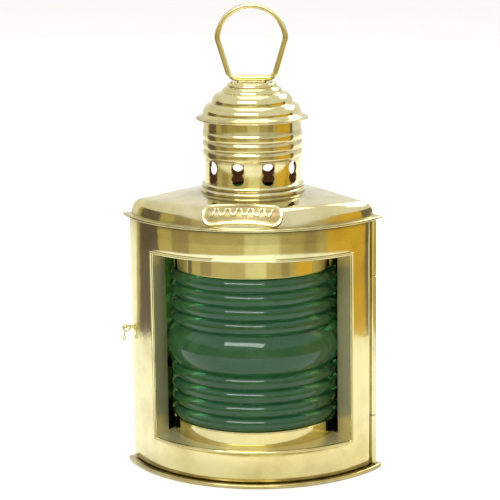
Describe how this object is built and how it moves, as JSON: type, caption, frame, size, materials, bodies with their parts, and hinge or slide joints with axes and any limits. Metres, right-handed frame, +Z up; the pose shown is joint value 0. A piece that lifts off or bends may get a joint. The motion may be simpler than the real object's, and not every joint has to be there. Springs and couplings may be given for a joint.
{
  "type": "navigation light",
  "caption": "Quarter-round brass ship's side light with a green ringed lens in a hinged door, a ribbed vented chimney with a stepped cap, a wire bail and an oil burner inside.",
  "frame": {"origin": "on the underside of the base, on the shared axis of the chimney, lens and burner", "axes": "+Z up the chimney, -Y out of the front through the lens, +Y out of the rear corner towards the wall brackets"},
  "size_m": [0.1663, 0.1274, 0.2929],
  "materials": {
    "sheet_brass": "polished and lacquered sheet",
    "spun_brass": "polished spun sheet with fine turning lines",
    "wire_brass": "drawn wire, polished by handling",
    "burner_brass": "dull, heat tinted",
    "green_glass": "moulded, glossy",
    "cotton": "flat woven, matte"
  },
  "bodies": {
    "case": {"base_plate": "sheet_brass", "base_lip": "sheet_brass", "rear_casing": "sheet_brass", "roof_brim": "sheet_brass", "roof_lip": "sheet_brass", "roof_dome": "sheet_brass", "name_plate": "sheet_brass", "chimney_collar": "spun_brass", "chimney_drum": "spun_brass", "chimney_cap": "spun_brass", "bail_sleeve": "wire_brass", "case_hinge": "sheet_brass", "hinge_pin": "wire_brass", "latch_bracket": "wire_brass", "bracket_lower": "sheet_brass", "bracket_upper": "sheet_brass", "bracket_rivets": "wire_brass", "font_ring": "burner_brass", "oil_font": "burner_brass", "filler_cap": "burner_brass", "burner_collar": "burner_brass", "burner_body": "burner_brass", "burner_cone": "burner_brass", "wick_tube": "burner_brass"},
    "door": {"door_panel": "sheet_brass", "window_moulding": "sheet_brass", "window_reveal": "sheet_brass", "gallery_lower": "sheet_brass", "gallery_upper": "sheet_brass", "fresnel_lens": "green_glass", "lens_clips": "sheet_brass", "door_hinge": "sheet_brass", "latch_eye": "wire_brass"},
    "latch": {"latch_hook": "wire_brass"},
    "bail": {"bail": "wire_brass"},
    "winder": {"wick_shaft": "burner_brass", "wick_knob": "burner_brass"},
    "wick": {"wick": "cotton"}
  },
  "joints": [
    {"name": "door_swing", "type": "hinge", "parent": "case", "child": "door", "pos_m": [0.076, -0.0109, 0.081], "axis": [0, 0, 1], "range_deg": [0, 115]},
    {"name": "latch_swing", "type": "hinge", "parent": "case", "child": "latch", "pos_m": [-0.06789, 0.00529, 0.088], "axis": [0, 0, -1], "range_deg": [0, 100]},
    {"name": "bail_swing", "type": "hinge", "parent": "case", "child": "bail", "pos_m": [0, 0, 0.2464], "axis": [1, 0, 0], "range_deg": [-90, 90]},
    {"name": "wick_knob_turn", "type": "hinge", "parent": "case", "child": "winder", "pos_m": [0, 0.0035, 0.04], "axis": [-1, 0, 0], "range_deg": [-66, 110]},
    {"name": "wick_lift", "type": "slide", "parent": "case", "child": "wick", "axis": [0, 0, 1], "range_m": [-0.003, 0.005]}
  ],
  "couplings": [
    {"joint": "wick_lift", "follows": "wick_knob_turn", "m_per_rad": 0.0026}
  ]
}
